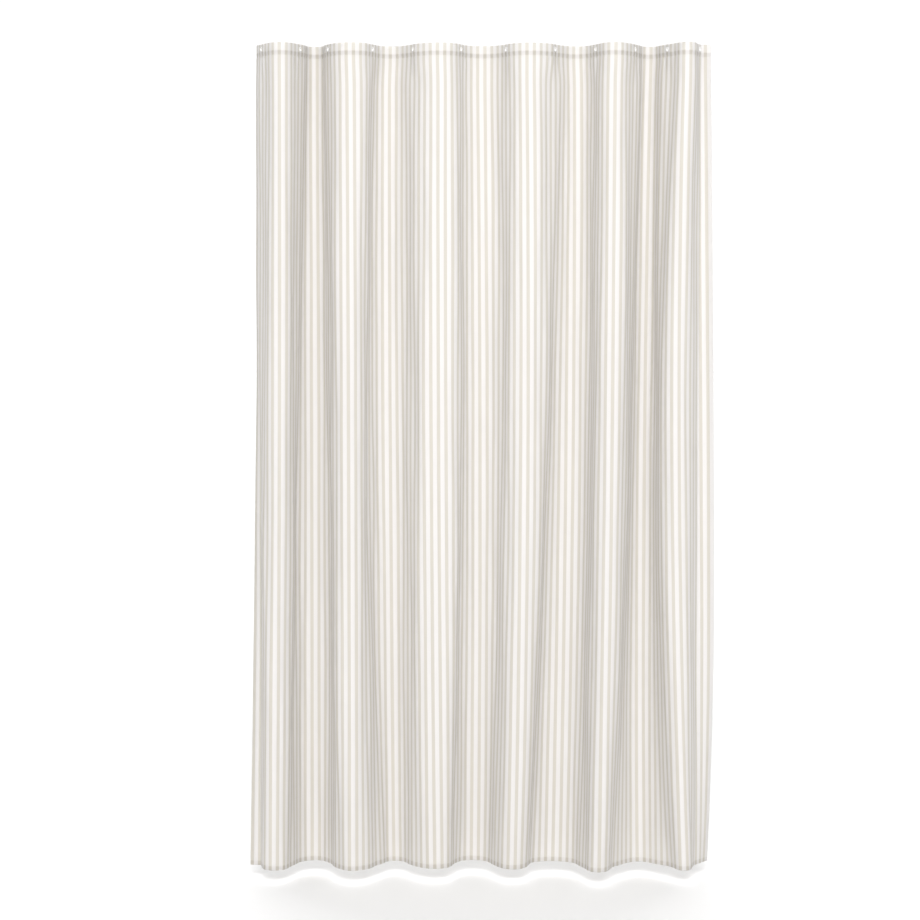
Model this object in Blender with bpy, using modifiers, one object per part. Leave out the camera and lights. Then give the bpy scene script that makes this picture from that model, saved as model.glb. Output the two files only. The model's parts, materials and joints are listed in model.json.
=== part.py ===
"""A striped cloth shower curtain, hung in soft folds from twelve eyelets.

Metres, +Z up. The origin is the middle of the eyelet row, on the straight line that the hooks of
a rod hold. The front of the curtain faces -Y, and its left edge is at -X.

The cloth is divided along the middle line of each fold. Each panel keeps the eyelet at its middle,
and turns about the fold line that it shares with the panel before it. When the panels turn by
equal amounts, alternately left and right, the folds open or close and every eyelet stays on the
straight line of the rod.
"""

import math

import bmesh
import bpy
import numpy as np
from mathutils import Matrix, Vector

# Cloth, as cut and hemmed, laid flat
FLAT_WIDTH = 1.800
FLAT_HEIGHT = 2.000
CLOTH = 0.0006
HEADER_DEPTH = 0.030
HEADER_SPACE = 0.0021  # middle of the front layer to the middle of the layer turned over behind it
HEM_DEPTH = 0.011
HEM_SPACE = 0.0012

# Eyelets
EYELET_COUNT = 12
SIDE_MARGIN = 0.034  # outer eyelet to the side edge, along the cloth
EYELET_DROP = 0.012  # top fold to the eyelets' centres
HOLE_RADIUS = 0.00415
BARREL_WALL = 0.0006
FLANGE_RADIUS = 0.0062
FLANGE = 0.0006
FLANGE_CHAMFER = 0.0002
EYELET_SIDES = 16
GAP = 0.0003  # between pieces that touch

# Folds: the distance from eyelet to eyelet along the rod, first fold to last. Odd ones stand forward.
FOLD_WIDTHS = (0.094, 0.068, 0.108, 0.099, 0.117, 0.110, 0.119, 0.099, 0.096, 0.079, 0.078)
EYELET_TURN = math.radians(66)  # how far the cloth turns away from the rod's line at each eyelet
FLAT_AT_EYELET = 0.009  # the cloth is straight this far to each side of an eyelet
MARGIN_STRAIGHT = 0.007
MARGIN_CURVED = 0.013
LEFT_EDGE_TURN = math.radians(45)
RIGHT_EDGE_TURN = math.radians(8)
PANEL_END = 0.003  # each panel stops this far from the fold line that it turns about
FIRST_PANEL_END = 0.008  # the first panel turns about its own eyelet, and stops this far beyond it
SIDE_STRIP_END = 0.0105

# Header tape and care label
TAPE_WIDTH = 0.016
TAPE = 0.0006
LABEL_WIDTH = 0.012
LABEL_HEIGHT = 0.035
LABEL = 0.0004
LABEL_RISE = 0.060  # bottom fold to the label's lower edge

PITCH = (FLAT_WIDTH - 2 * SIDE_MARGIN) / (EYELET_COUNT - 1)
TOP = EYELET_DROP
BOTTOM = EYELET_DROP - FLAT_HEIGHT
STEPS_PER_FOLD = 400
STEPS_PER_MARGIN = 100
COLUMNS_BESIDE_EYELET = 4


def fold_directions(bend):
    """Direction of the cloth through a fold, from one eyelet to the next, in equal steps."""
    turn = math.pi * (np.arange(STEPS_PER_FOLD) + 0.5) / STEPS_PER_FOLD
    return EYELET_TURN * ((1 - bend) * np.cos(turn) + bend * np.cos(3 * turn))


def bend_for(width):
    """The bend that brings the ends of one pitch of cloth this far apart, found by halving."""
    low, high = -1.0, 1.0
    for _ in range(50):
        middle = (low + high) / 2
        if np.cos(fold_directions(middle)).mean() * PITCH < width:
            low = middle
        else:
            high = middle
    return middle


def margin_directions(edge_turn):
    """Direction of the cloth from an outer eyelet to the side edge, in equal steps."""
    out = SIDE_MARGIN * (np.arange(STEPS_PER_MARGIN) + 0.5) / STEPS_PER_MARGIN
    share = np.clip((out - MARGIN_STRAIGHT) / MARGIN_CURVED, 0, 1)
    return edge_turn + (EYELET_TURN - edge_turn) * (1 + np.cos(math.pi * share)) / 2


def fold_line():
    """Plan of the cloth: rows of length from the first eyelet, x, y and direction."""
    directions = [-margin_directions(LEFT_EDGE_TURN)[::-1]]
    steps = [np.full(STEPS_PER_MARGIN, SIDE_MARGIN / STEPS_PER_MARGIN)]
    for index, width in enumerate(FOLD_WIDTHS):
        forward = -1 if index % 2 == 0 else 1
        directions.append(forward * fold_directions(bend_for(width)))
        steps.append(np.full(STEPS_PER_FOLD, PITCH / STEPS_PER_FOLD))
    directions.append(margin_directions(RIGHT_EDGE_TURN))
    steps.append(steps[0])
    directions = np.concatenate(directions)
    steps = np.concatenate(steps)
    length = np.cumsum(steps) - steps / 2
    x = np.cumsum(steps * np.cos(directions)) - steps * np.cos(directions) / 2
    y = np.cumsum(steps * np.sin(directions)) - steps * np.sin(directions) / 2
    first = SIDE_MARGIN
    x -= np.interp(first, length, x) + sum(FOLD_WIDTHS) / 2
    y -= np.interp(first, length, y)
    return length - first, x, y, directions


FOLD_LINE = fold_line()


def place(length, behind=0.0, height=0.0):
    """The point this far along the cloth, this far behind its middle and this high."""
    along, xs, ys, directions = FOLD_LINE
    turn = np.interp(length, along, directions)
    x = np.interp(length, along, xs) - math.sin(turn) * behind
    y = np.interp(length, along, ys) + math.cos(turn) * behind
    return Vector((x, y, height))


def frame_at(length, behind=0.0, height=0.0):
    """Axes of the cloth there: X along it, Y up and Z out of its front."""
    along, _, _, directions = FOLD_LINE
    turn = np.interp(length, along, directions)
    axes = Matrix(
        (
            (math.cos(turn), 0.0, math.sin(turn)),
            (math.sin(turn), 0.0, -math.cos(turn)),
            (0.0, 1.0, 0.0),
        )
    ).to_4x4()
    return Matrix.Translation(place(length, behind, height)) @ axes


def eyelet_length(number):
    return (number - 1) * PITCH


def pivot_length(number):
    """Where a panel turns: the first about its own eyelet, the others about the fold before them."""
    return 0.0 if number == 1 else eyelet_length(number) - PITCH / 2


def panel_columns(number):
    """Lengths along the cloth of a panel's upright rows of points, denser in the bends."""
    centre = eyelet_length(number)
    reach = PITCH / 2 - PANEL_END
    side = np.linspace(FLAT_AT_EYELET, reach, COLUMNS_BESIDE_EYELET + 1)
    if number == 1:
        before = [-FIRST_PANEL_END]
    else:
        before = list(-side[::-1])
    if number == EYELET_COUNT:
        after = list(np.linspace(MARGIN_STRAIGHT, MARGIN_STRAIGHT + MARGIN_CURVED, 4))
        after.append(SIDE_MARGIN)
    else:
        after = list(side)
    return [centre + offset for offset in before + after]


def side_strip_columns():
    return list(np.linspace(-SIDE_MARGIN, -SIDE_STRIP_END, 5))


def cloth_section():
    """The cloth from the hem's turned-in edge, up its front and over to the header's inner edge."""
    hem, header = HEM_SPACE / 2, HEADER_SPACE / 2
    low, high = BOTTOM + CLOTH / 2, TOP - CLOTH / 2
    return [
        (HEM_SPACE, low + HEM_DEPTH),
        (HEM_SPACE, low + hem),
        (hem, low),
        (0.0, low + hem),
        (0.0, TOP - HEADER_DEPTH),
        (0.0, high - header),
        (header, high),
        (HEADER_SPACE, high - header),
        (HEADER_SPACE, TOP - HEADER_DEPTH),
    ]


def tape_section():
    middle = HEADER_SPACE / 2
    high = TOP - CLOTH - GAP - HEADER_SPACE / 2
    return [(middle, high - TAPE_WIDTH), (middle, high)]


def linked_object(name, mesh, collection, parent):
    obj = bpy.data.objects.new(name, mesh)
    obj.parent = parent
    collection.objects.link(obj)
    return obj


def shade(obj, material):
    obj.data.materials.append(material)
    obj.data.shade_smooth()
    obj.data.set_sharp_from_angle(angle=math.radians(35))


def swept_sheet(name, columns, section, thickness, material, collection, pivot):
    """A sheet that follows the fold line between the first and last column, in this section."""
    bm = bmesh.new()
    across, up = len(columns) - 1, len(section) - 1
    bmesh.ops.create_grid(bm, x_segments=across, y_segments=up, size=0.5)
    for vert in bm.verts:
        column = columns[round((vert.co.x + 0.5) * across)]
        behind, height = section[round((vert.co.y + 0.5) * up)]
        vert.co = place(column, behind, height) - pivot.matrix_world.translation
    mesh = bpy.data.meshes.new(name)
    bm.to_mesh(mesh)
    bm.free()
    obj = linked_object(name, mesh, collection, pivot)
    shade(obj, material)
    solid = obj.modifiers.new("thickness", "SOLIDIFY")
    solid.thickness = thickness
    solid.offset = 0.0
    solid.use_even_offset = True
    return obj


def turned_ring(name, profile, frame, material, collection, pivot):
    """A ring turned about the Z axis of the frame, from a closed profile of (radius, height)."""
    bm = bmesh.new()
    verts = [bm.verts.new((radius, 0.0, height)) for radius, height in profile]
    for first, second in zip(verts, verts[1:] + verts[:1]):
        bm.edges.new((first, second))
    mesh = bpy.data.meshes.new(name)
    bm.to_mesh(mesh)
    bm.free()
    obj = linked_object(name, mesh, collection, pivot)
    obj.matrix_local = pivot.matrix_world.inverted() @ frame
    turning = obj.modifiers.new("turning", "SCREW")
    turning.axis = "Z"
    turning.angle = 2 * math.pi
    turning.steps = EYELET_SIDES
    turning.render_steps = EYELET_SIDES
    turning.use_merge_vertices = True
    turning.merge_threshold = 0.00001
    turning.use_smooth_shade = True
    obj.data.materials.append(material)
    return obj


def eyelet_front(number, material, collection, pivot):
    """Front flange and the barrel that passes through the header, in one piece."""
    face = CLOTH / 2 + GAP + FLANGE
    end = -(HEADER_SPACE + CLOTH / 2 + GAP + FLANGE)
    barrel = HOLE_RADIUS + BARREL_WALL
    profile = [
        (HOLE_RADIUS, face),
        (FLANGE_RADIUS - FLANGE_CHAMFER, face),
        (FLANGE_RADIUS, face - FLANGE_CHAMFER),
        (FLANGE_RADIUS, face - FLANGE),
        (barrel, face - FLANGE),
        (barrel, end),
        (HOLE_RADIUS, end),
    ]
    name = f"eyelet_front_{number:02d}"
    frame = frame_at(eyelet_length(number))
    return turned_ring(name, profile, frame, material, collection, pivot)


def eyelet_back(number, material, collection, pivot):
    """Washer that holds the barrel's end behind the header."""
    near = -(HEADER_SPACE + CLOTH / 2 + GAP)
    inner = HOLE_RADIUS + BARREL_WALL + GAP
    profile = [
        (inner, near),
        (FLANGE_RADIUS, near),
        (FLANGE_RADIUS, near - FLANGE),
        (inner, near - FLANGE),
    ]
    name = f"eyelet_back_{number:02d}"
    frame = frame_at(eyelet_length(number))
    return turned_ring(name, profile, frame, material, collection, pivot)


def hole_cutter(number, collection, pivot):
    """Cylinder that makes room for an eyelet's barrel in the cloth and the tape."""
    bm = bmesh.new()
    radius = HOLE_RADIUS + BARREL_WALL + GAP
    bmesh.ops.create_cone(
        bm,
        cap_ends=True,
        segments=EYELET_SIDES,
        radius1=radius,
        radius2=radius,
        depth=4 * HEADER_SPACE,
    )
    mesh = bpy.data.meshes.new(f"hole_cutter_{number:02d}")
    bm.to_mesh(mesh)
    bm.free()
    cutter = linked_object(mesh.name, mesh, collection, pivot)
    frame = frame_at(eyelet_length(number), behind=HEADER_SPACE / 2)
    cutter.matrix_local = pivot.matrix_world.inverted() @ frame
    cutter.hide_render = True
    cutter.display_type = "WIRE"
    return cutter


def cut(obj, cutter):
    hole = obj.modifiers.new("eyelet hole", "BOOLEAN")
    hole.operation = "DIFFERENCE"
    hole.solver = "EXACT"
    hole.object = cutter


def care_label(material, collection, pivot):
    """Small blank label, sewn behind the right side hem near the bottom."""
    bm = bmesh.new()
    bmesh.ops.create_cube(bm, size=1.0)
    bmesh.ops.scale(bm, vec=(LABEL_WIDTH, LABEL_HEIGHT, LABEL), verts=bm.verts)
    mesh = bpy.data.meshes.new("care_label")
    bm.to_mesh(mesh)
    bm.free()
    label = linked_object("care_label", mesh, collection, pivot)
    along = eyelet_length(EYELET_COUNT) + SIDE_MARGIN - LABEL_WIDTH / 2 - 2 * GAP
    behind = CLOTH / 2 + GAP + LABEL / 2
    frame = frame_at(along, behind, BOTTOM + LABEL_RISE + LABEL_HEIGHT / 2)
    label.matrix_local = pivot.matrix_world.inverted() @ frame
    label.data.materials.append(material)


def make_material(name, color, roughness):
    material = bpy.data.materials.new(name)
    material.use_nodes = True
    shader = material.node_tree.nodes["Principled BSDF"]
    shader.inputs["Base Color"].default_value = (*color, 1.0)
    shader.inputs["Roughness"].default_value = roughness
    shader.inputs["Metallic"].default_value = 0.0
    material.diffuse_color = (*color, 1.0)
    return material


def make_pivots(collection):
    """An empty on each panel's hinge line, each one carried by the one before it."""
    pivots = []
    for number in range(1, EYELET_COUNT + 1):
        pivot = bpy.data.objects.new(f"pivot_{number:02d}", None)
        pivot.empty_display_size = 0.02
        spot = place(pivot_length(number))
        if pivots:
            pivot.parent = pivots[-1]
            spot -= place(pivot_length(number - 1))
        pivot.location = spot
        collection.objects.link(pivot)
        pivots.append(pivot)
    bpy.context.view_layer.update()
    return pivots


def make_panel(number, pivot, materials, solids, cutters):
    """One panel of cloth with its length of header tape and its eyelet."""
    cloth_name = f"curtain_panel_{number:02d}"
    columns = panel_columns(number)
    cloth = swept_sheet(
        cloth_name, columns, cloth_section(), CLOTH, materials["cloth"], solids, pivot
    )
    tape = swept_sheet(
        f"header_tape_{number:02d}",
        columns,
        tape_section(),
        TAPE,
        materials["tape"],
        solids,
        pivot,
    )
    cutter = hole_cutter(number, cutters, pivot)
    cut(cloth, cutter)
    cut(tape, cutter)
    eyelet_front(number, materials["eyelet"], solids, pivot)
    eyelet_back(number, materials["eyelet"], solids, pivot)


def clear_scene():
    for obj in list(bpy.data.objects):
        bpy.data.objects.remove(obj, do_unlink=True)


def new_collection(name):
    collection = bpy.data.collections.new(name)
    bpy.context.scene.collection.children.link(collection)
    return collection


def main():
    clear_scene()
    solids = new_collection("shower_curtain")
    cutters = new_collection("cutters")
    materials = {
        "cloth": make_material("curtain_cloth", (0.80, 0.77, 0.71), 0.85),
        "tape": make_material("header_tape", (0.90, 0.90, 0.88), 0.80),
        "eyelet": make_material("eyelet", (0.92, 0.92, 0.91), 0.35),
        "label": make_material("care_label", (0.93, 0.93, 0.91), 0.60),
    }
    fixed = bpy.data.objects.new("hanging_line", None)
    solids.objects.link(fixed)
    swept_sheet(
        "left_side_strip",
        side_strip_columns(),
        cloth_section(),
        CLOTH,
        materials["cloth"],
        solids,
        fixed,
    )
    pivots = make_pivots(solids)
    for number, pivot in enumerate(pivots, start=1):
        make_panel(number, pivot, materials, solids, cutters)
    care_label(materials["label"], solids, pivots[-1])


main()
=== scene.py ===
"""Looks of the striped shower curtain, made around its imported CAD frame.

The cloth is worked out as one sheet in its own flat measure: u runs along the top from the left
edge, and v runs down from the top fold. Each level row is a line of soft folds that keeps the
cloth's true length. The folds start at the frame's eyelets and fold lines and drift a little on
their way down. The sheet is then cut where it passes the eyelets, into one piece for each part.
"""

import json
import math

import bmesh
import bpy
import numpy as np
from mathutils import Matrix, Vector


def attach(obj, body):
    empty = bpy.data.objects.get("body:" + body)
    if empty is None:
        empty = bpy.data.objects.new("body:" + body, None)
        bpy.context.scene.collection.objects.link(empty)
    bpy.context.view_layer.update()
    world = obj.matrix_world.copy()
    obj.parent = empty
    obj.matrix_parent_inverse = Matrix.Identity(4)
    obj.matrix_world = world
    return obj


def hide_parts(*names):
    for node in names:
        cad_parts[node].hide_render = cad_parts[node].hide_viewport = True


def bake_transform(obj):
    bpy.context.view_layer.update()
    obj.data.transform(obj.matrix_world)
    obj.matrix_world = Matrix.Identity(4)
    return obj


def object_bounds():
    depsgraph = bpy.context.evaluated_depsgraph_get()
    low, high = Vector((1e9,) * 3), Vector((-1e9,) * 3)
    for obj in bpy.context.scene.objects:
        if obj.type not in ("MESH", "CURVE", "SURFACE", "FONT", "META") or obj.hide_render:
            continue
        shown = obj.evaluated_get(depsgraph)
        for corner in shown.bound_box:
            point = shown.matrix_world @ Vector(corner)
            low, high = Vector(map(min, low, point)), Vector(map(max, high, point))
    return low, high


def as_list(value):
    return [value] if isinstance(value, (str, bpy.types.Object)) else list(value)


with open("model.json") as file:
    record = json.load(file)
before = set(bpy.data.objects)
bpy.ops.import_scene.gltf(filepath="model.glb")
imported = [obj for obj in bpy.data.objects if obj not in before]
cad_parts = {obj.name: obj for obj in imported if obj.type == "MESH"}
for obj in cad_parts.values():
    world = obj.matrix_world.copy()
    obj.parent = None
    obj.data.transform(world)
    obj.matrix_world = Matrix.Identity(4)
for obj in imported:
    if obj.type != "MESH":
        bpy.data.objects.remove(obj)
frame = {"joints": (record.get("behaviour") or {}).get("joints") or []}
CAD_BOX = [list(corner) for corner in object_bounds()]

# Lengths are in metres, and angles in degrees, unless a name or comment says otherwise.

# ---- the cloth laid flat, as the frame was made
FLAT_WIDTH = 1.800
FLAT_HEIGHT = 2.000
SIDE_MARGIN = 0.034  # from each side edge to the nearest eyelet
EYELET_DROP = 0.012  # from the top fold down to the eyelets
HEADER_DEPTH = 0.030
HEADER_SPACE = 0.0021  # from the front layer to the layer turned in behind it
HEM_DEPTH = 0.011
HEM_SPACE = 0.0012
SIDE_HEM = 0.012
SIDE_SPACE = 0.0010
CLOTH = 0.0004  # thickness
EYELET_TURN = math.radians(66)  # turn of the cloth at each eyelet, in radians
SIDES = ("front", "back")

# ---- the frame's eyelets, from its hinge lines
JOINTS = {joint["name"]: joint for joint in frame["joints"]}
EYELET_COUNT = len(JOINTS)
PITCH = (FLAT_WIDTH - 2 * SIDE_MARGIN) / (EYELET_COUNT - 1)
TOP = CAD_BOX[1][2]


def eyelet_places():
    """x of each eyelet: the first hinge stands on an eyelet, and each fold line between two."""
    places = [JOINTS["gather"]["pos_m"][0]]
    for number in range(1, EYELET_COUNT):
        middle = JOINTS[f"fold_{number:02d}"]["pos_m"][0]
        places.append(2 * middle - places[-1])
    return np.array(places)


EYELET_X = eyelet_places()
EYELET_U = SIDE_MARGIN + PITCH * np.arange(EYELET_COUNT)

# ---- how each slope between two folds stands at the header, half way down and at the hem
SLOPE_X = [  # how far it drifts from its eyelet, mm
    [0] * 12,
    [1, -12, 8, -12, 2, -2, -6, -20, -14, -14, -26, -7],
    [0, -18, 14, 12, 2, -22, -26, -66, -40, -42, -8, -15],
]
SLOPE_U = [  # the same along the cloth itself
    [0] * 12,
    [-2, -8, -6, -14, 4, -10, -10, -18, -16, 12, -14, -12],
    [0, -14, -2, 4, -4, -38, -16, -50, -32, -4, -12, -30],
]
SLOPE_TURN = [  # its turn from the wall's line, degrees
    [52, 60, 60, 80, 46, 72, 60, 42, 76, 50, 44, 76],
    [72, 80, 78, 76, 62, 74, 68, 70, 78, 74, 80, 60],
    [84, 72, 72, 58, 52, 74, 66, 76, 70, 52, 40, 80],
]
LEFT_EDGE_TURN = (66, 52, 6)  # the side edges at the same three heights
RIGHT_EDGE_TURN = (8, 4, 50)
MARGIN_STRAIGHT = 0.003  # beside an outer eyelet, before the cloth turns toward its edge
MARGIN_CURVED = 0.010

# ---- the cloth close to an eyelet, which holds it flat
FLAT_AT_EYELET = 0.0065
FREE_AT_EYELET = 0.022
HEADER_GRIP = 0.080  # how far below the header that hold fades out

# ---- wrinkles, as heights out of the smooth cloth
PUCKER = 0.0009
PUCKER_REACH = 0.055
PUCKER_WIDTH = 0.030
RIPPLE = 0.0011
RIPPLE_START = 0.30
SEAM_DENT = 0.0006
SEAM_WIDTH = 0.0022
SEAM_INSET = 0.0015  # from a turned edge to its seam

# ---- how finely the cloth is worked out and drawn
STEPS_PER_FOLD = 80
STEPS_PER_MARGIN = 18
FIT_STEPS = 12
LARGEST_FIT_STEP = 0.25
COLUMNS_PER_PITCH = 40
COLUMNS_PER_MARGIN = 8
FINE_ROW = 0.004
FINE_ROWS_TO = 0.088
ROW = 0.011
LAST_ROW_RISE = 0.016  # the last even row above the hem's edge
ROLL_STEPS = 5  # round each turned edge
FIRST_INSIDE = 0.0015  # from a turned edge to the first line of its inner layer
EYELET_OPENING = 0.0052  # radius of the hole in the cloth

# ---- where each part's bend is worked out
CUT_CLEARANCE = 0.004  # beside each cut, kept out of the part's bend
MARGIN_BEND = 0.010  # width of the bend at the left edge

# ---- tape, eyelets, sewing thread and label
TAPE = 0.0006  # thickness
TAPE_TOP = 0.004
TAPE_IN_HEM = 0.004  # how far its ends go into the side hems
TAPE_ROWS = 5
TAPE_BOTTOM = TAPE_TOP + (TAPE_ROWS - 1) * FINE_ROW
EYELET_HOLE = 0.00415  # radii of the hole, the barrel and the flange
EYELET_BARREL = 0.00475
EYELET_FLANGE = 0.0062
EYELET_FACE = 0.0012
EYELET_UNDER = 0.0006  # underside of a flange, from the cloth's middle
EYELET_ROUND = 0.00028
RING_SIDES = 40
RING_SHARP = 50
STITCH = 0.0029
STITCH_PITCH = 0.0037
THREAD = 0.00022  # half of its width
FIRST_STITCH = 0.003  # from the side edge
LAST_STITCH = 0.004
LABEL = 0.0003  # thickness
LABEL_WIDTH = 0.012
LABEL_HEIGHT = 0.035
LABEL_RISE = 0.060  # its lower edge above the hem
LABEL_INSET = 0.0006
LABEL_CURL = 0.0016

# ---- colours and pattern
STRIPE_PITCH = 0.018
STRIPE_WIDTH = 0.008
STRIPE_START = 0.0004  # left edge of the first stripe
STRIPE_EDGE = 0.0007
YARN = 0.00042  # width of one yarn
YARN_SWAY = 0.0004  # how far a stripe's edge wanders
GROUND = (0.83, 0.815, 0.808)
STRIPE = (0.735, 0.706, 0.648)
YARN_SHADE = (0.62, 0.60, 0.56)
BROAD_SHADE = (0.86, 0.80, 0.70)
# painted shade: the cloth is darker where two layers lie together, as less light comes through
# them
DOUBLED_PAINTED_SHADE = (0.86, 0.845, 0.82)
TAPE_PAINTED_LIGHT = 0.07  # painted light: how much lighter the cloth is painted where the white tape lies behind it
LIGHT_THROUGH = 0.35

# ---- camera, lights and floor
CAMERA_DISTANCE = 6.3
CAMERA_HEIGHT = -0.590
CAMERA_X = -0.050
VIEW_WIDTH = 2.240
HORIZON_SHIFT = -0.183
SENSOR = 36.0  # mm
FLOOR = CAD_BOX[0][2] - 0.030
FLOOR_SIZE = 80.0
FLOOR_COLOR = (0.78, 0.78, 0.78)
WHITE_SURROUND = 1.05  # strength that the camera sees
SKY = 0.54  # strength that lights the scene
SUNS = (  # height and turn of the light in degrees, its strength and its softness in degrees
    (34, 5, 1.22, 20),
    (34, -9, 0.95, 20),
    (40, 180, 2.0, 60),
)
SOFTBOX_SIZE = (2.4, 1.6)
SOFTBOX_ENERGY = 36  # W
SOFTBOX_PLACE = (0.4, -2.6, 1.6)
SOFTBOX_TILT = 50


# ---- how the cloth hangs


def ease(share):
    """0 to 1 on a smooth step."""
    share = np.clip(share, 0.0, 1.0)
    return share * share * (3 - 2 * share)


def at_height(values, v):
    """Rows of values at the header, half way down and at the hem, on a smooth curve between."""
    top, middle, hem = np.asarray(values, float)[:, None]
    share = np.clip((v - HEADER_DEPTH) / (FLAT_HEIGHT - HEADER_DEPTH), 0, 1)[:, None]
    bend = 4 * share * (1 - share)
    return top * (1 - share) * (1 - 2 * share) + middle * bend + hem * share * (2 * share - 1)


def grip(v, distance):
    """How firmly the eyelet holds the cloth flat, from 1 beside it to 0 further off or down."""
    near = 1 - ease((distance - FLAT_AT_EYELET) / (FREE_AT_EYELET - FLAT_AT_EYELET))
    return near * (1 - ease((v - HEADER_DEPTH) / HEADER_GRIP))


def fold_directions(v, turn, width, length):
    """Direction of the cloth through each fold of each row, in equal steps.

    Two terms are found so that the fold spans its width and ends on the line it started from.
    """
    share = (np.arange(STEPS_PER_FOLD) + 0.5) / STEPS_PER_FOLD
    angle = math.pi * share
    sweep = turn[:, :-1, None] + (turn[:, 1:] - turn[:, :-1])[:, :, None] * share
    near_first = grip(v[:, None, None], share * length[:, :, None])
    near_last = grip(v[:, None, None], (1 - share) * length[:, :, None])
    free = 1 - near_first - near_last
    held = EYELET_TURN * (near_first - near_last)
    narrower = sweep * (np.cos(3 * angle) - np.cos(angle)) * free
    lean = np.sin(angle) * free
    base = sweep * np.cos(angle) * free + held
    terms = np.zeros((2, *width.shape, 1))
    for _ in range(FIT_STEPS):
        direction = base + terms[0] * narrower + terms[1] * lean
        cosine, sine = np.cos(direction), np.sin(direction)
        short = cosine.mean(axis=2) - width / length
        off = sine.mean(axis=2)
        a, b = -(sine * narrower).mean(axis=2), -(sine * lean).mean(axis=2)
        c, d = (cosine * narrower).mean(axis=2), (cosine * lean).mean(axis=2)
        scale = a * d - b * c
        scale = np.where(abs(scale) < 1e-6, 1e-6, scale)
        step = np.stack([(d * short - b * off) / scale, (a * off - c * short) / scale])
        terms = terms - np.clip(step, -LARGEST_FIT_STEP, LARGEST_FIT_STEP)[..., None]
    return base + terms[0] * narrower + terms[1] * lean


def row_directions(v):
    """For each row of v: x and u of its slopes, their turn, and the directions of its folds."""
    x = EYELET_X + at_height(SLOPE_X, v) / 1000
    u = EYELET_U + at_height(SLOPE_U, v) / 1000
    turn = np.radians(at_height(SLOPE_TURN, v))
    width, length = np.diff(x, axis=1), np.diff(u, axis=1)
    directions = fold_directions(v, turn, width, length)
    forward = np.where(np.arange(EYELET_COUNT - 1) % 2 == 0, -1.0, 1.0)
    return x, u, turn, directions * forward[None, :, None], length


def margin_directions(v, turn, edge_turns, length):
    """Direction from an outer eyelet to the side edge for each row, in equal steps."""
    edge = np.radians(at_height(np.array(edge_turns)[:, None], v))
    out = length[:, None] * (np.arange(STEPS_PER_MARGIN) + 0.5) / STEPS_PER_MARGIN
    share = ease((out - MARGIN_STRAIGHT) / MARGIN_CURVED)
    loose = turn[:, None] + (edge - turn[:, None]) * share
    held = grip(v[:, None], out)
    return loose + (EYELET_TURN - loose) * np.minimum(held, 1 - share)


def walk_rows(v):
    """The cloth of each row of v, walked from edge to edge: u, x and y after each step, and the
    direction of each step."""
    x, u, turn, folds, lengths = row_directions(v)
    left_length = u[:, 0]
    right_length = FLAT_WIDTH - u[:, -1]
    left = -margin_directions(v, turn[:, 0], LEFT_EDGE_TURN, left_length)[:, ::-1]
    right = margin_directions(v, turn[:, -1], RIGHT_EDGE_TURN, right_length)
    directions = np.concatenate([left, folds.reshape(len(v), -1), right], axis=1)
    left_steps = np.repeat(left_length[:, None] / STEPS_PER_MARGIN, STEPS_PER_MARGIN, axis=1)
    fold_steps = np.repeat(lengths / STEPS_PER_FOLD, STEPS_PER_FOLD, axis=1)
    right_steps = np.repeat(right_length[:, None] / STEPS_PER_MARGIN, STEPS_PER_MARGIN, axis=1)
    steps = np.concatenate([left_steps, fold_steps, right_steps], axis=1)
    walked = []
    for along in (steps, steps * np.cos(directions), steps * np.sin(directions)):
        walked.append(np.concatenate([np.zeros((len(v), 1)), np.cumsum(along, axis=1)], axis=1))
    at_u, at_x, at_y = walked
    at_x = at_x - at_x[:, STEPS_PER_MARGIN, None] + x[:, :1]
    return at_u, at_x, at_y, directions


def hang(u_lines, v_lines):
    """The hung cloth at these lines: x, y, z and direction, a row for each v."""
    at_u, at_x, at_y, directions = walk_rows(v_lines)
    middle_u = (at_u[:, 1:] + at_u[:, :-1]) / 2
    knots = STEPS_PER_MARGIN + STEPS_PER_FOLD * np.arange(EYELET_COUNT)
    x, y, z, direction = np.empty((4, len(v_lines), len(u_lines)))
    for row in range(len(v_lines)):
        slope, level = np.polyfit(at_x[row, knots], at_y[row, knots], 1)
        flat_y = at_y[row] - (level + slope * at_x[row])
        x[row] = np.interp(u_lines, at_u[row], at_x[row])
        y[row] = np.interp(u_lines, at_u[row], flat_y)
        direction[row] = np.interp(u_lines, middle_u[row], directions[row])
    run = np.diff(v_lines)[:, None] ** 2
    drift = np.diff(x, axis=0) ** 2 + np.diff(y, axis=0) ** 2
    z[0] = 0
    z[1:] = np.cumsum(np.sqrt(np.maximum(run - drift, 0.2 * run)), axis=0)
    return x, y, TOP - v_lines[0] - z, direction


def soft_noise(u, v, seed, waves, u_length, v_length):
    """Sum of a few random long waves, about -1 to 1, with these typical lengths."""
    rng = np.random.default_rng(seed)
    total = np.zeros(np.broadcast(u, v).shape)
    for _ in range(waves):
        along = rng.uniform(0.6, 1.6) / u_length * rng.choice([-1, 1])
        down = rng.uniform(0.3, 1.3) / v_length
        phase = rng.uniform(0, 2 * math.pi)
        total = total + np.sin(2 * math.pi * (along * u + down * v) + phase)
    return total / math.sqrt(waves)


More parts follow.
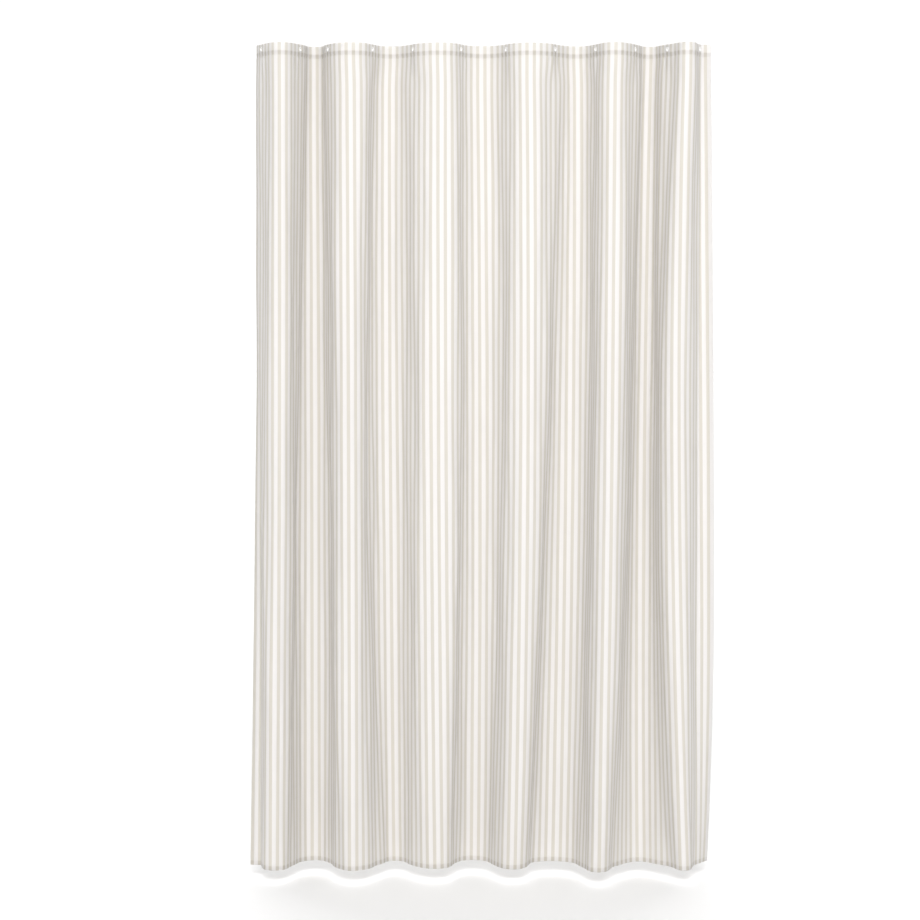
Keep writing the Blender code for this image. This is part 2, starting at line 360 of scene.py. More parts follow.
def wrinkles(u, v):
    """How far the cloth stands out of its smooth folds: puckers under the header, ripples, and
    the hollow of each seam."""
    below = np.maximum(v - HEADER_DEPTH, 0)
    nearest = (u - SIDE_MARGIN) - PITCH * np.round((u - SIDE_MARGIN) / PITCH)
    by_eyelet = 0.35 + np.exp(-((nearest / PUCKER_WIDTH) ** 2))
    fade = ease(below / 0.006) * np.exp(-below / PUCKER_REACH)
    pucker = PUCKER * by_eyelet * fade * soft_noise(u, v, 3, 7, 0.016, 0.20)
    grow = ease(below / RIPPLE_START)
    ripple = RIPPLE * grow * soft_noise(u, v, 5, 8, 0.085, 0.70)
    fine = 0.25 * RIPPLE * grow * soft_noise(u, v, 8, 9, 0.034, 0.30)
    seam = SEAM_DENT * np.exp(-(((v - HEADER_DEPTH + SEAM_INSET) / SEAM_WIDTH) ** 2))
    hem_line = FLAT_HEIGHT - HEM_DEPTH + SEAM_INSET
    seam = seam + 0.6 * SEAM_DENT * np.exp(-(((v - hem_line) / SEAM_WIDTH) ** 2))
    return pucker + ripple + fine + seam


# ---- the full sheet with its turned edges


def turned_edge(inner, radius):
    """(distance from the edge, distance behind, pattern distance) from the turned-in edge to
    the start of the front layer."""
    points = [(distance, 2 * radius, -distance) for distance in inner]
    for step in range(ROLL_STEPS + 1):
        angle = math.pi * (1 - step / ROLL_STEPS)
        out = radius - radius * math.sin(angle)
        behind = radius - radius * math.cos(angle)
        points.append((out, behind, radius * (math.pi / 2 - angle)))
    return points


def column_lines():
    """(u, behind, pattern u) of each upright line of the sheet."""
    radius = SIDE_SPACE / 2
    edge = turned_edge(np.linspace(SIDE_HEM, FIRST_INSIDE, 5), radius)
    inside = np.linspace(0, SIDE_MARGIN, COLUMNS_PER_MARGIN + 1)[1:]
    lines = list(edge)
    lines += [(u, 0.0, u) for u in inside]
    spread = np.arange(1, COLUMNS_PER_PITCH * (EYELET_COUNT - 1)) * PITCH / COLUMNS_PER_PITCH
    lines += [(SIDE_MARGIN + s, 0.0, SIDE_MARGIN + s) for s in spread]
    lines += [(FLAT_WIDTH - u, 0.0, FLAT_WIDTH - u) for u in inside[::-1]]
    lines += [(FLAT_WIDTH - u, behind, FLAT_WIDTH - p) for u, behind, p in edge[::-1]]
    return np.array(lines)


def row_lines():
    """(v, behind, pattern v) of each level line, from the header's inner edge to the hem's."""
    header = np.arange(HEADER_DEPTH - FINE_ROW / 2, FINE_ROW / 2, -FINE_ROW)
    lines = [(HEADER_DEPTH, HEADER_SPACE, -HEADER_DEPTH)]
    lines += turned_edge(header, HEADER_SPACE / 2)
    lines += [(v, 0.0, v) for v in np.arange(FINE_ROW, FINE_ROWS_TO + 1e-6, FINE_ROW)]
    hem = turned_edge([HEM_DEPTH, 0.008, 0.0045, FIRST_INSIDE], HEM_SPACE / 2)
    low = FLAT_HEIGHT - LAST_ROW_RISE
    count = round((low - FINE_ROWS_TO) / ROW)
    lines += [(v, 0.0, v) for v in np.linspace(FINE_ROWS_TO, low, count + 1)[1:]]
    lines += [(FLAT_HEIGHT - out, 0.0, FLAT_HEIGHT - out) for out in (HEM_DEPTH, 0.007, 0.003)]
    lines += [(FLAT_HEIGHT - out, behind, FLAT_HEIGHT - p) for out, behind, p in hem[::-1]]
    return np.array(lines)


def unit(vectors):
    """The same directions with length 1."""
    return vectors / np.maximum(np.linalg.norm(vectors, axis=-1, keepdims=True), 1e-12)


def front_surface(u_lines, v_lines):
    """Points of the cloth's front layer with wrinkles, and which way is behind it."""
    x, y, z, direction = hang(u_lines, v_lines)
    behind = np.stack([-np.sin(direction), np.cos(direction), np.zeros_like(x)], axis=-1)
    points = np.stack([x, y, z], axis=-1)
    out = wrinkles(u_lines[None, :], v_lines[:, None])
    return points + behind * out[..., None], behind


def sheet_grid(columns, rows):
    """Points and pattern places of a sheet on these upright and level lines."""
    v_sorted, v_back = np.unique(rows[:, 0], return_inverse=True)
    u_sorted, u_back = np.unique(columns[:, 0], return_inverse=True)
    points, behind = front_surface(u_sorted, v_sorted)
    points = points[v_back][:, u_back]
    behind = behind[v_back][:, u_back]
    depth = rows[:, 1][:, None] + columns[:, 1][None, :]
    points = points + behind * depth[..., None]
    pattern = np.stack(
        np.broadcast_arrays(columns[:, 2][None, :], rows[:, 2][:, None]), axis=-1
    ).copy()
    return points, pattern


def outward(points):
    """Normals of a grid of points, on the side away from the wall."""
    down = np.gradient(points, axis=0)
    along = np.gradient(points, axis=1)
    return unit(np.cross(down, along))


def open_eyelets(points, pattern, columns, rows):
    """Moves the points round each eyelet to a circle, and marks the quads inside it as open."""
    open_quads = np.zeros((len(rows) - 1, len(columns) - 1), bool)
    flat_columns = np.where(columns[:, 1] == 0)[0]
    centre_rows = np.where(np.isclose(rows[:, 0], EYELET_DROP))[0]
    moved = points.copy()
    moved_pattern = pattern.copy()
    for u in EYELET_U:
        column = flat_columns[np.argmin(abs(columns[flat_columns, 0] - u))]
        for row in centre_rows:
            for down in (-1, 0, 1):
                for along in (-1, 0, 1):
                    if down == 0 and along == 0:
                        continue
                    here = (row + down, column + along)
                    arm = points[here] - points[row, column]
                    share = EYELET_OPENING / np.linalg.norm(arm)
                    moved[here] = points[row, column] + arm * share
                    flat_arm = pattern[here] - pattern[row, column]
                    moved_pattern[here] = pattern[row, column] + flat_arm * share
            open_quads[row - 1 : row + 1, column - 1 : column + 1] = True
    return moved, moved_pattern, open_quads


def new_object(name, vertices, faces, material):
    """A mesh object in the scene."""
    mesh = bpy.data.meshes.new(name)
    mesh.from_pydata(vertices, [], faces)
    mesh.materials.append(material)
    obj = bpy.data.objects.new(name, mesh)
    bpy.context.scene.collection.objects.link(obj)
    return obj


def corners_of(quads, columns):
    """Grid places of the four corners of each chosen quad, on a grid with this many columns."""
    row, column = quads
    here = row * columns + column
    return np.stack([here, here + columns, here + columns + 1, here + 1], axis=1)


def rim_of(local, count):
    """Quads that join the two sides of a sheet along its open edges."""
    start = local.reshape(-1)
    end = np.roll(local, -1, axis=1).reshape(-1)
    forward = start.astype(np.int64) * count + end
    backward = end.astype(np.int64) * count + start
    edge = ~np.isin(forward, backward)
    return np.stack([end[edge], start[edge], start[edge] + count, end[edge] + count], axis=1)


def closed_piece(name, points, normals, pattern, quads, thickness, material):
    """A closed sheet of this thickness from the chosen quads of a grid."""
    corners = corners_of(quads, points.shape[1])
    used, local = np.unique(corners, return_inverse=True)
    local = local.reshape(corners.shape)
    count = len(used)
    flat_points = points.reshape(-1, 3)[used]
    flat_normals = normals.reshape(-1, 3)[used]
    flat_pattern = pattern.reshape(-1, 2)[used]
    half = flat_normals * thickness / 2
    vertices = np.concatenate([flat_points + half, flat_points - half])
    rim = rim_of(local, count)
    faces = np.concatenate([local, local[:, ::-1] + count, rim])
    obj = new_object(name, vertices.tolist(), faces.tolist(), material)
    down = vertices[rim[:, 1]] - vertices[rim[:, 0]]
    across = vertices[rim[:, 2]] - vertices[rim[:, 1]]
    front = flat_normals[local.reshape(-1)]
    back = -flat_normals[local[:, ::-1].reshape(-1)]
    sides = np.repeat(unit(np.cross(down, across)), 4, axis=0)
    both = np.concatenate([flat_pattern, flat_pattern])
    layer = obj.data.uv_layers.new(name="flat")
    layer.data.foreach_set("uv", both[faces.reshape(-1)].astype(np.float32).reshape(-1))
    obj.data.shade_smooth()
    obj.data.normals_split_custom_set(np.concatenate([front, back, sides]).tolist())
    return obj


# ---- parts of the sheet, of which the last rides on the frame


def parts_of(columns, rows):
    """For each quad of a sheet, how many slopes it is past, so that each cut follows a slope."""
    u = (columns[1:, 0] + columns[:-1, 0]) / 2
    v = (rows[1:, 0] + rows[:-1, 0]) / 2
    slope_u = EYELET_U + at_height(SLOPE_U, v) / 1000
    return (u[None, :, None] > slope_u[:, None, :]).sum(axis=2)


def bends_of(points, parts):
    """Where each part bends: (start, end) on a line that leans with the part's two slopes."""
    bends = {}
    for part in range(EYELET_COUNT):
        drift = SLOPE_X[2][max(part - 1, 0)] + SLOPE_X[2][part]
        lean = -drift / 2000 / FLAT_HEIGHT
        line = np.array([1.0, 0.0, -lean])
        inside = parts == part
        rows = np.nonzero(inside.any(axis=1))[0]
        first = inside.argmax(axis=1)[rows]
        last = inside.shape[1] - inside[:, ::-1].argmax(axis=1)[rows]
        left = np.concatenate([points[rows, first], points[rows + 1, first]]) @ line
        right = np.concatenate([points[rows, last], points[rows + 1, last]]) @ line
        end = right.min() - CUT_CLEARANCE
        start = left.max() + CUT_CLEARANCE if part else end - MARGIN_BEND
        bends[part] = (line * start / (line @ line), line * end / (line @ line))
    return bends


def ride_part(obj, part):
    """Part 0 is left of the first eyelet, and part n is from eyelet n to the next."""
    if part == EYELET_COUNT:
        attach(obj, f"panel_{part:02d}")
        return
    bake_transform(obj)


def split_sheet(name, sheet, keep, thickness, material, stands_for, hangs_from):
    """Cuts a sheet where it passes the eyelets into closed pieces. Each piece hides the frame
    parts that it stands for, and the last piece rides its body.
    """
    points, pattern, parts, bends = sheet
    normals = outward(points)
    for part in range(EYELET_COUNT + 1):
        row, column = quads = np.nonzero((parts == part) & keep)
        if len(row) == 0:
            continue
        piece = f"{name}_{part:02d}"
        obj = closed_piece(piece, points, normals, pattern, quads, thickness, material)
        ride_part(obj, part)
        if stands_for(part):
            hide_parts(*stands_for(part))
        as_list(hangs_from(part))


# ---- materials


def nodes_of(name):
    """A new material with its nodes, its links and its shader."""
    material = bpy.data.materials.new(name)
    material.use_nodes = True
    tree = material.node_tree
    return material, tree.nodes, tree.links, tree.nodes["Principled BSDF"]


def plain_material(name, color, roughness):
    """One colour all over."""
    material, _, _, shader = nodes_of(name)
    shader.inputs["Base Color"].default_value = (*color, 1.0)
    shader.inputs["Roughness"].default_value = roughness
    return material


def math_node(nodes, links, operation, first, second=None, clamp=False):
    """Output of a Math node. Each input is a number or another node's output."""
    node = nodes.new("ShaderNodeMath")
    node.operation = operation
    node.use_clamp = clamp
    for socket, value in zip(node.inputs, (first, second)):
        if value is None:
            continue
        if isinstance(value, (int, float)):
            socket.default_value = value
        else:
            links.new(value, socket)
    return node.outputs[0]


def flat_place(nodes, links):
    """The place on the flat cloth, in metres: the whole vector, across it, and down it."""
    flat = nodes.new("ShaderNodeUVMap")
    flat.uv_map = "flat"
    split = nodes.new("ShaderNodeSeparateXYZ")
    links.new(flat.outputs["UV"], split.inputs[0])
    return flat.outputs["UV"], split.outputs["X"], split.outputs["Y"]


def stretched_noise(nodes, links, place, across, down, detail=3.0):
    """Noise from 0 to 1 with this typical length across and down the cloth."""
    mapping = nodes.new("ShaderNodeMapping")
    mapping.inputs["Scale"].default_value = (1 / across, 1 / down, 1.0)
    links.new(place, mapping.inputs["Vector"])
    noise = nodes.new("ShaderNodeTexNoise")
    noise.inputs["Scale"].default_value = 1.0
    noise.inputs["Detail"].default_value = detail
    links.new(mapping.outputs["Vector"], noise.inputs["Vector"])
    return noise.outputs["Fac"]


def mixed(nodes, links, factor, first, second, blend="MIX"):
    """Output of a Mix node. Each input is a number, a colour or another node's output."""
    mix = nodes.new("ShaderNodeMix")
    mix.data_type = "RGBA"
    mix.blend_type = blend
    for name, value in (("Factor", factor), ("A", first), ("B", second)):
        socket = mix.inputs[name]
        if isinstance(value, (int, float)):
            socket.default_value = value
        elif isinstance(value, tuple):
            socket.default_value = (*value, 1.0)
        else:
            links.new(value, socket)
    return mix.outputs["Result"]


def ribs(nodes, links, place, pitch):
    """Wave from -1 to 1 along one measure of the cloth, with a rib at each pitch."""
    turn = math_node(nodes, links, "MULTIPLY", place, math.pi / pitch)
    return math_node(nodes, links, "SINE", turn)


def weave_height(nodes, links, u, v):
    """Plain weave, over one yarn and under the next, about 0 to 1."""
    across = ribs(nodes, links, u, YARN)
    down = ribs(nodes, links, v, YARN)
    product = math_node(nodes, links, "MULTIPLY", across, down)
    half = math_node(nodes, links, "MULTIPLY", product, 0.5)
    return math_node(nodes, links, "ADD", half, 0.5)


def bumped(nodes, links, height, distance, shader):
    """Bumps the shader's surface by this height from 0 to 1, over this distance."""
    bump = nodes.new("ShaderNodeBump")
    bump.inputs["Strength"].default_value = 0.6
    bump.inputs["Distance"].default_value = distance
    links.new(height, bump.inputs["Height"])
    links.new(bump.outputs["Normal"], shader.inputs["Normal"])


def let_light_through(nodes, links, shader, color, share):
    """Mixes this share of translucency into a thin cloth."""
    glow = nodes.new("ShaderNodeBsdfTranslucent")
    links.new(color, glow.inputs["Color"])
    mix = nodes.new("ShaderNodeMixShader")
    mix.inputs["Fac"].default_value = share
    links.new(shader.outputs["BSDF"], mix.inputs[1])
    links.new(glow.outputs["BSDF"], mix.inputs[2])
    links.new(mix.outputs["Shader"], nodes["Material Output"].inputs["Surface"])


def rising(nodes, links, place, start, over):
    """0 before the start, 1 after it, and a ramp between that is this long."""
    past = math_node(nodes, links, "SUBTRACT", place, start)
    return math_node(nodes, links, "DIVIDE", past, over, clamp=True)


def falling(nodes, links, place, end, over):
    """1 well before the end, and 0 from there on."""
    left = math_node(nodes, links, "SUBTRACT", end, place)
    return math_node(nodes, links, "DIVIDE", left, over, clamp=True)


def doubled_painted_shade(nodes, links, v, stripe):
    """How much painted shade darkens the cloth where two layers lie together and less light comes
    through them, mostly in the stripes.
    """
    below_tape = rising(nodes, links, v, TAPE_BOTTOM - 0.003, 0.003)
    above_seam = falling(nodes, links, v, HEADER_DEPTH + 0.0005, 0.001)
    header = math_node(nodes, links, "MULTIPLY", below_tape, above_seam)
    hem = rising(nodes, links, v, FLAT_HEIGHT - HEM_DEPTH, 0.001)
    both = math_node(nodes, links, "MAXIMUM", header, hem)
    half = math_node(nodes, links, "MULTIPLY", stripe, 0.5)
    by_stripe = math_node(nodes, links, "ADD", half, 0.25)
    return math_node(nodes, links, "MULTIPLY", both, by_stripe)


def painted_light_over_tape(nodes, links, v):
    """Painted light: how much lighter the cloth is painted where the white tape lies behind it and
    sends light back through it.
    """
    above = falling(nodes, links, v, TAPE_BOTTOM + 0.001, 0.002)
    return math_node(nodes, links, "MULTIPLY", above, TAPE_PAINTED_LIGHT)


def stripes(nodes, links, u, uneven):
    """1 in a stripe and 0 between two, with edges that the yarn makes a little uneven."""
    sway = math_node(nodes, links, "MULTIPLY", uneven, YARN_SWAY)
    # The 20 pitches keep the sum above 0, and the half pitch puts each stripe in mid cycle.
    shift = 20.5 * STRIPE_PITCH - STRIPE_START - STRIPE_WIDTH / 2 - YARN_SWAY / 2
    shifted = math_node(nodes, links, "ADD", u, shift)
    moved = math_node(nodes, links, "ADD", shifted, sway)
    cycle = math_node(nodes, links, "MODULO", moved, STRIPE_PITCH)
    centred = math_node(nodes, links, "SUBTRACT", cycle, STRIPE_PITCH / 2)
    distance = math_node(nodes, links, "ABSOLUTE", centred)
    inside = math_node(nodes, links, "SUBTRACT", STRIPE_WIDTH / 2, distance)
    edge = math_node(nodes, links, "DIVIDE", inside, STRIPE_EDGE)
    return math_node(nodes, links, "ADD", edge, 0.5, clamp=True)


def cloth_color(nodes, links, place, v, stripe, weft):
    """Stripes on off-white, with lighter and darker yarns, painted shade where two layers lie
    together and painted light over the white tape.
    """
    warp = stretched_noise(nodes, links, place, 0.0009, 0.35)
    broad = stretched_noise(nodes, links, place, 0.05, 0.4, 2.0)
    beige = mixed(nodes, links, warp, STRIPE, tuple(0.90 * c for c in STRIPE))
    cream = mixed(nodes, links, warp, GROUND, tuple(0.96 * c for c in GROUND))
    color = mixed(nodes, links, stripe, cream, beige)
    some_weft = math_node(nodes, links, "MULTIPLY", weft, 0.10)
    color = mixed(nodes, links, some_weft, color, YARN_SHADE)
    some_broad = math_node(nodes, links, "MULTIPLY", broad, 0.08)
    color = mixed(nodes, links, some_broad, color, BROAD_SHADE, "MULTIPLY")
    # painted shade where two layers lie together and less light comes through
    painted_layer_shade = doubled_painted_shade(nodes, links, v, stripe)
    color = mixed(nodes, links, painted_layer_shade, color, DOUBLED_PAINTED_SHADE, "MULTIPLY")
    # painted light over the white tape inside the header
    return mixed(nodes, links, painted_light_over_tape(nodes, links, v), color, (1.0, 1.0, 1.0), "ADD")


def cloth_material():
    """Off-white cloth with woven beige stripes, a fine plain weave and slightly uneven yarn."""
    material, nodes, links, shader = nodes_of("striped_cloth")
    place, u, v = flat_place(nodes, links)
    uneven = stretched_noise(nodes, links, place, 0.0016, 0.0022)
    weft = stretched_noise(nodes, links, place, 0.25, 0.0011)
    stripe = stripes(nodes, links, u, uneven)
    color = cloth_color(nodes, links, place, v, stripe, weft)
    links.new(color, shader.inputs["Base Color"])
    some_uneven = math_node(nodes, links, "MULTIPLY", uneven, 0.12)
    roughness = math_node(nodes, links, "ADD", some_uneven, 0.80)
    links.new(roughness, shader.inputs["Roughness"])
    shader.inputs["Sheen Weight"].default_value = 0.12
    shader.inputs["Sheen Roughness"].default_value = 0.5
    shader.inputs["Specular IOR Level"].default_value = 0.3
    height = weave_height(nodes, links, u, v)
    half_weft = math_node(nodes, links, "MULTIPLY", weft, 0.5)
    yarn = math_node(nodes, links, "ADD", height, half_weft)
    bumped(nodes, links, yarn, 0.00012, shader)
    let_light_through(nodes, links, shader, color, LIGHT_THROUGH)
    return material


def tape_material():
    """Bright woven tape with fine ribs across it."""
    material, nodes, links, shader = nodes_of("woven_tape")
    place, u, _ = flat_place(nodes, links)
    uneven = stretched_noise(nodes, links, place, 0.001, 0.004)
    color = mixed(nodes, links, uneven, (0.84, 0.84, 0.83), (0.76, 0.76, 0.74))
    links.new(color, shader.inputs["Base Color"])
    shader.inputs["Roughness"].default_value = 0.8
    shader.inputs["Sheen Weight"].default_value = 0.1
    bumped(nodes, links, ribs(nodes, links, u, 0.0006), 0.0001, shader)
    return material


def grain_noise(nodes, links, scale, detail):
    """Noise from 0 to 1 in the piece's own space."""
    noise = nodes.new("ShaderNodeTexNoise")
    noise.inputs["Scale"].default_value = scale
    noise.inputs["Detail"].default_value = detail
    place = nodes.new("ShaderNodeTexCoord").outputs["Object"]
    links.new(place, noise.inputs["Vector"])
    return noise.outputs["Fac"]


def thread_material():
    """Twisted off-white polyester thread."""
    material, nodes, links, shader = nodes_of("sewing_thread")
    grain = grain_noise(nodes, links, 900, 2)
    color = mixed(nodes, links, grain, (0.80, 0.78, 0.74), (0.70, 0.67, 0.62))
    links.new(color, shader.inputs["Base Color"])
    shader.inputs["Roughness"].default_value = 0.6
    shader.inputs["Sheen Weight"].default_value = 0.2
    bumped(nodes, links, grain, 0.00005, shader)
    return material


def eyelet_material():
    """White moulded plastic with a soft gloss."""
    material, nodes, links, shader = nodes_of("white_plastic")
    grain = grain_noise(nodes, links, 400, 4)
    color = mixed(nodes, links, grain, (0.86, 0.86, 0.85), (0.80, 0.80, 0.79))
    links.new(color, shader.inputs["Base Color"])
    some_grain = math_node(nodes, links, "MULTIPLY", grain, 0.15)
    roughness = math_node(nodes, links, "ADD", some_grain, 0.28)
    links.new(roughness, shader.inputs["Roughness"])
    bumped(nodes, links, grain, 0.00003, shader)
    return material


def label_material():
    """Blank satin care label."""
    material, nodes, links, shader = nodes_of("label_satin")
    place, _, v = flat_place(nodes, links)
    uneven = stretched_noise(nodes, links, place, 0.003, 0.001)
    color = mixed(nodes, links, uneven, (0.85, 0.85, 0.84), (0.79, 0.79, 0.77))
    links.new(color, shader.inputs["Base Color"])
    shader.inputs["Roughness"].default_value = 0.45
    shader.inputs["Sheen Weight"].default_value = 0.2
    bumped(nodes, links, ribs(nodes, links, v, 0.0003), 0.00004, shader)
    return material


# ---- camera, light and floor


def make_camera():
    """Level camera in front of the curtain, with the view shifted down to frame it."""
    data = bpy.data.cameras.new("camera")
    data.sensor_width = SENSOR
    data.lens = SENSOR * CAMERA_DISTANCE / VIEW_WIDTH
    data.shift_y = HORIZON_SHIFT
    data.clip_end = 100
    camera = bpy.data.objects.new("camera", data)
    camera.location = (CAMERA_X, -CAMERA_DISTANCE, CAMERA_HEIGHT)
    camera.rotation_euler = (math.pi / 2, 0, 0)
    bpy.context.scene.collection.objects.link(camera)
    bpy.context.scene.camera = camera


def make_sun(number, height, turn, strength, softness):
    """Sun light that is so wide that its shadows are soft."""
    data = bpy.data.lights.new(f"sun_{number}", "SUN")
    data.energy = strength
    data.angle = math.radians(softness)
    sun = bpy.data.objects.new(f"sun_{number}", data)
    sun.rotation_euler = (math.radians(90 - height), 0, math.radians(turn))
    bpy.context.scene.collection.objects.link(sun)


def make_floor():
    """Pale floor just below the hem."""
    bpy.ops.mesh.primitive_plane_add(size=FLOOR_SIZE, location=(0, 0, FLOOR))
    floor = bpy.context.object
    floor.name = "floor"
    floor.data.materials.append(plain_material("pale_floor", FLOOR_COLOR, 0.9))


def make_surround():
    """White surround that looks brighter to the camera than it lights the scene."""
    world = bpy.data.worlds.new("studio")
    world.use_nodes = True
    nodes, links = world.node_tree.nodes, world.node_tree.links
    background = nodes["Background"]
    background.inputs["Color"].default_value = (1, 1, 1, 1)
    seen = nodes.new("ShaderNodeLightPath").outputs["Is Camera Ray"]
    extra = math_node(nodes, links, "MULTIPLY", seen, WHITE_SURROUND - SKY)
    strength = math_node(nodes, links, "ADD", extra, SKY)
    links.new(strength, background.inputs["Strength"])
    bpy.context.scene.world = world


def make_softbox():
    """Wide soft light, above and in front."""
    light = bpy.data.lights.new("softbox", "AREA")
    light.shape = "RECTANGLE"
    light.size, light.size_y = SOFTBOX_SIZE
    light.energy = SOFTBOX_ENERGY
    lamp = bpy.data.objects.new("softbox", light)
    lamp.location = SOFTBOX_PLACE
    lamp.rotation_euler = (math.radians(SOFTBOX_TILT), 0, 0)
    bpy.context.scene.collection.objects.link(lamp)


def make_stage():
    """The floor, the surround and the lights, with colours shown as they are."""
    make_floor()
    make_surround()
    for number, sun in enumerate(SUNS, 1):
        make_sun(number, *sun)
    make_softbox()
    bpy.context.scene.view_settings.view_transform = "Standard"


# ---- pieces


def near_eyelets(part):
    """Names of the eyelet halves that a part of the sheet hangs from."""
    numbers = {max(part, 1), min(part + 1, EYELET_COUNT)}
    return [f"eyelet_{side}_{number:02d}" for number in sorted(numbers) for side in SIDES]


def make_cloth():
    """The curtain's cloth with its turned header and hems, and where each of its parts bends."""
    columns, rows = column_lines(), row_lines()
    points, pattern = sheet_grid(columns, rows)
    points, pattern, open_quads = open_eyelets(points, pattern, columns, rows)
    parts = parts_of(columns, rows)
    bends = bends_of(points, parts)
    sheet = (points, pattern, parts, bends)

    def stands_for(part):
        return [f"curtain_panel_{part:02d}"] if part else ["left_side_strip"]

    material = cloth_material()
    split_sheet(
        "cloth", sheet, ~open_quads, CLOTH, material, stands_for, near_eyelets
    )
    return bends


def make_tape(bends):
    """White woven tape inside the header, which stiffens it round the eyelets."""
    columns = column_lines()
    start = SIDE_HEM - TAPE_IN_HEM
    flat = (columns[:, 1] == 0) & (columns[:, 0] > start)
    flat &= columns[:, 0] < FLAT_WIDTH - start
    columns = columns[flat]
    drops = TAPE_TOP + np.arange(TAPE_ROWS) * FINE_ROW
    rows = np.array([(v, HEADER_SPACE / 2, v) for v in drops])
    points, pattern = sheet_grid(columns, rows)
    points, pattern, open_quads = open_eyelets(points, pattern, columns, rows)
    sheet = (points, pattern, parts_of(columns, rows), bends)

    def stands_for(part):
        return [f"header_tape_{part:02d}"] if part else []

    material = tape_material()
    split_sheet(
        "tape", sheet, ~open_quads, TAPE, material, stands_for, near_eyelets
    )


def lathe(name, profile, place, material):
    """A ring turned from (radius, behind) points about the eyelet's axis."""
    vertices, faces = [], []
    count = len(profile)
    for side in range(RING_SIDES):
        angle = 2 * math.pi * side / RING_SIDES
        for radius, behind in profile:
            local = Vector((radius * math.cos(angle), radius * math.sin(angle), behind))
            vertices.append(place @ local)
        start = side * count
        following = (side + 1) % RING_SIDES * count
        for step in range(count):
            after = (step + 1) % count
            faces.append((start + step, start + after, following + after, following + step))
    obj = new_object(name, vertices, faces, material)
    bm = bmesh.new()
    bm.from_mesh(obj.data)
    bmesh.ops.recalc_face_normals(bm, faces=bm.faces)
    bm.to_mesh(obj.data)
    bm.free()
    obj.data.shade_smooth()
    obj.data.set_sharp_from_angle(angle=math.radians(RING_SHARP))
    return obj


def rounded(corners, radius, steps=4):
    """Closed profile with each corner rounded."""
    points = []
    count = len(corners)
    for number, corner in enumerate(corners):
        before, here = Vector(corners[number - 1]), Vector(corner)
        after = Vector(corners[(number + 1) % count])
        inward, onward = (before - here), (after - here)
        reach = min(radius, 0.49 * inward.length, 0.49 * onward.length)
        start = here + inward.normalized() * reach
        finish = here + onward.normalized() * reach
        for step in range(steps + 1):
            share = step / steps
            first = start.lerp(here, share)
            second = here.lerp(finish, share)
            points.append(tuple(first.lerp(second, share)))
    return points


def eyelet_profiles():
    """(radius, behind) corners of the front flange with its barrel, and of the washer behind."""
    far = HEADER_SPACE + EYELET_FACE
    front = [
        (EYELET_HOLE, -EYELET_FACE + 0.00035),
        (EYELET_HOLE + 0.0005, -EYELET_FACE),
        (EYELET_FLANGE - 0.0004, -EYELET_FACE),
        (EYELET_FLANGE, -EYELET_FACE + 0.0005),
        (EYELET_FLANGE, -EYELET_UNDER),
        (EYELET_BARREL, -EYELET_UNDER),
        (EYELET_BARREL, far - 0.0001),
        (EYELET_HOLE, far - 0.0001),
    ]
    back = [
        (EYELET_BARREL + 0.0002, far - 0.0005),
        (EYELET_FLANGE, far - 0.0006),
        (EYELET_FLANGE, far - 0.0002),
        (EYELET_FLANGE - 0.0003, far),
        (EYELET_BARREL + 0.0002, far),
    ]
    return rounded(front, EYELET_ROUND), rounded(back, EYELET_ROUND)


def eyelet_place(number):
    """The eyelet's axes and centre, square to the slope that it goes through."""
    turn = EYELET_TURN if number % 2 == 0 else -EYELET_TURN
    behind = Vector((-math.sin(turn), math.cos(turn), 0))
    along = Vector((math.cos(turn), math.sin(turn), 0))
    place = Matrix.Identity(4)
    for column, axis in enumerate((along, Vector((0, 0, 1)), behind)):
        place.col[column][:3] = axis
    place.col[3][:3] = (EYELET_X[number - 1], 0, TOP - EYELET_DROP)
    return place


def make_eyelets():
    """Two-part white eyelets: a front flange with its barrel, and a washer pressed on behind."""
    material = eyelet_material()
    profiles = eyelet_profiles()
    for number in range(1, EYELET_COUNT + 1):
        place = eyelet_place(number)
        for side, profile in zip(SIDES, profiles):
            ring = lathe(f"ring_{side}_{number:02d}", profile, place, material)
            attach(ring, f"panel_{number:02d}")
            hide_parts(f"eyelet_{side}_{number:02d}")


def stitches(ends, tails, outs):
    """Vertices and faces of small closed threads, one for each pair of ends.

    Each has a point at both ends and two rings of four corners between them.
    """
    along = unit(tails - ends)
    across = unit(np.cross(outs, along))
    tips = [ends - outs * THREAD * 0.4, tails - outs * THREAD * 0.4]
    corners = []
    for share in (0.18, 0.82):
        middle = ends + (tails - ends) * share
        for side, height in ((-1, 0), (0, 1), (1, 0), (0, -0.5)):
            corners.append(middle + across * side * THREAD + outs * height * THREAD)
    vertices = np.stack([tips[0], *corners, tips[1]], axis=1).reshape(-1, 3)
    caps, sides = [], []
    for here, following in ((1, 2), (2, 3), (3, 4), (4, 1)):
        caps += [(0, following, here), (9, here + 4, following + 4)]
        sides.append((here, following, following + 4, here + 4))
    starts = 10 * np.arange(len(ends))[:, None, None]
    triangles = (np.array(caps) + starts).reshape(-1, 3)
    quads = (np.array(sides) + starts).reshape(-1, 4)
    return vertices, triangles.tolist() + quads.tolist()


def seam_runs(points, behind, depth, u, v):
    """(ends, tails, outs, u, v) of a seam's stitches on the front and on the back of the cloth."""
    runs = []
    for offset, out in ((-CLOTH / 2, -1), (depth + CLOTH / 2, 1)):
        face = points + behind * offset
        runs.append((face[0::2], face[1::2], behind[0::2] * out, u, v))
    return runs


def both_ends(starts):
    """Where each stitch starts and ends, in order."""
    return np.sort(np.concatenate([starts, starts + STITCH]))


def level_seam(v, depth):
    """Stitches of a level seam on both faces of the cloth, from edge to edge."""
    starts = np.arange(FIRST_STITCH, FLAT_WIDTH - LAST_STITCH, STITCH_PITCH)
    points, behind = front_surface(both_ends(starts), np.array([v]))
    return seam_runs(points[0], behind[0], depth, starts, np.full(len(starts), v))


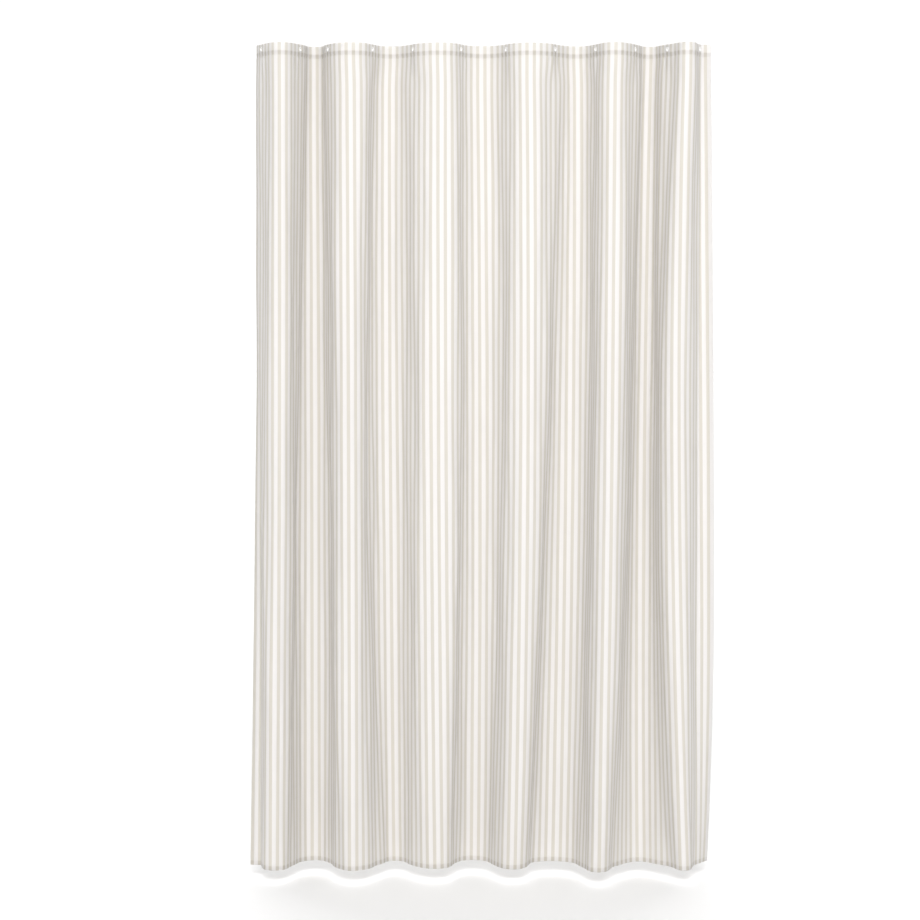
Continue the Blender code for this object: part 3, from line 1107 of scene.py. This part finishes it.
def upright_seam(u, depth):
    """Stitches of an upright seam on both faces of the cloth, from header to hem."""
    last = FLAT_HEIGHT - HEM_DEPTH - LAST_STITCH
    starts = np.arange(HEADER_DEPTH + 0.002, last, STITCH_PITCH)
    points, behind = front_surface(np.array([u]), both_ends(starts))
    return seam_runs(points[:, 0], behind[:, 0], depth, np.full(len(starts), u), starts)


def make_stitching():
    """The sewing thread of the header, the bottom hem and the two side hems."""
    material = thread_material()
    runs = level_seam(HEADER_DEPTH - SEAM_INSET, HEADER_SPACE)
    runs += level_seam(FLAT_HEIGHT - HEM_DEPTH + SEAM_INSET, HEM_SPACE)
    runs += upright_seam(SIDE_HEM - SEAM_INSET, SIDE_SPACE)
    runs += upright_seam(FLAT_WIDTH - SIDE_HEM + SEAM_INSET, SIDE_SPACE)
    ends, tails, outs, u, v = (np.concatenate(part) for part in zip(*runs))
    slope_u = EYELET_U + at_height(SLOPE_U, v) / 1000
    parts = ((u + STITCH / 2)[:, None] > slope_u).sum(axis=1)
    for part in range(EYELET_COUNT + 1):
        chosen = parts == part
        vertices, faces = stitches(ends[chosen], tails[chosen], outs[chosen])
        obj = new_object(f"stitching_{part:02d}", vertices.tolist(), faces, material)
        obj.data.shade_smooth()
        ride_part(obj, part)


def make_label():
    """Small blank care label, sewn along its top edge behind the right side hem."""
    u_lines = FLAT_WIDTH - LABEL_INSET - np.linspace(LABEL_WIDTH, 0, 9)
    v_top = FLAT_HEIGHT - LABEL_RISE - LABEL_HEIGHT
    v_lines = v_top + np.linspace(0, LABEL_HEIGHT, 20)
    share = (v_lines - v_top) / LABEL_HEIGHT
    points, behind = front_surface(u_lines, v_lines)
    curl = LABEL_CURL * share**2 + 0.0006 * np.sin(share * 5)
    away = SIDE_SPACE + CLOTH / 2 + 0.0006 + curl
    points = points + behind * away[:, None, None]
    pattern = np.stack(np.meshgrid(u_lines, v_lines), axis=-1)
    quads = np.nonzero(np.ones((len(v_lines) - 1, len(u_lines) - 1), bool))
    material = label_material()
    label = closed_piece("label", points, outward(points), pattern, quads, LABEL, material)
    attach(label, f"panel_{EYELET_COUNT:02d}")
    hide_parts("care_label")


make_camera()
make_stage()
bends = make_cloth()
make_tape(bends)
make_eyelets()
make_stitching()
make_label()
